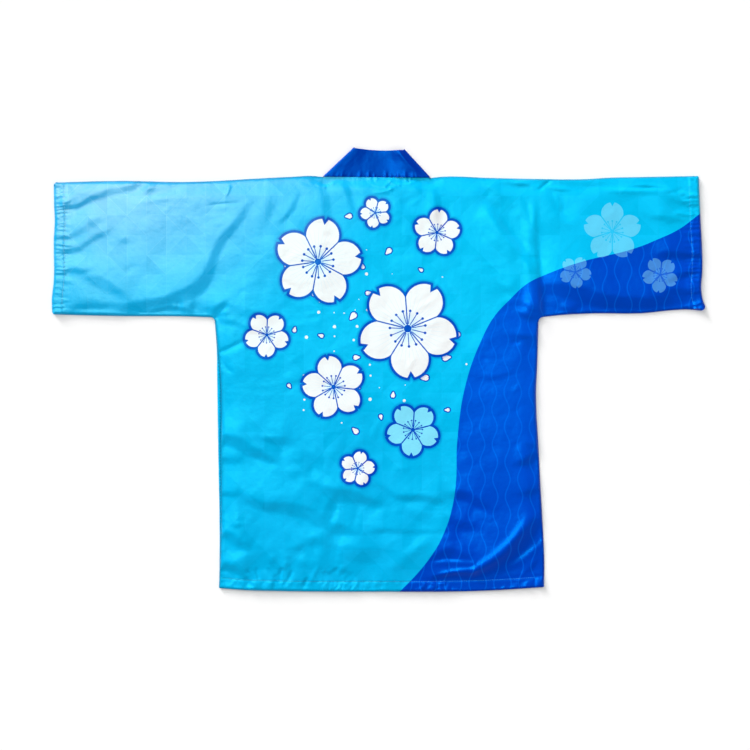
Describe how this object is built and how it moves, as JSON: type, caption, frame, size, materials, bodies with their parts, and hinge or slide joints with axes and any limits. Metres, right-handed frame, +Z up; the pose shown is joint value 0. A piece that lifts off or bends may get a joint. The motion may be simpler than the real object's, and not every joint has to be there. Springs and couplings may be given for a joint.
{
  "type": "happi coat",
  "caption": "Open-fronted festival coat with wide straight sleeves and a band collar, laid flat with its printed back up.",
  "frame": {"origin": "middle of the coat's spread, on the surface that it lies on", "axes": "+X across the sleeves to the wearer's right, +Y towards the collar, +Z up through the cloth, the back being uppermost"},
  "size_m": [1.2533, 0.8533, 0.0164],
  "materials": {
    "printed_satin": "thin polyester satin, sky blue to bright cyan with a deep blue area, soft sheen",
    "collar_satin": "thin polyester satin in deep blue, soft sheen"
  },
  "bodies": {
    "root": {"back": "printed_satin", "front_left": "printed_satin", "front_right": "printed_satin", "collar": "collar_satin"}
  },
  "joints": []
}
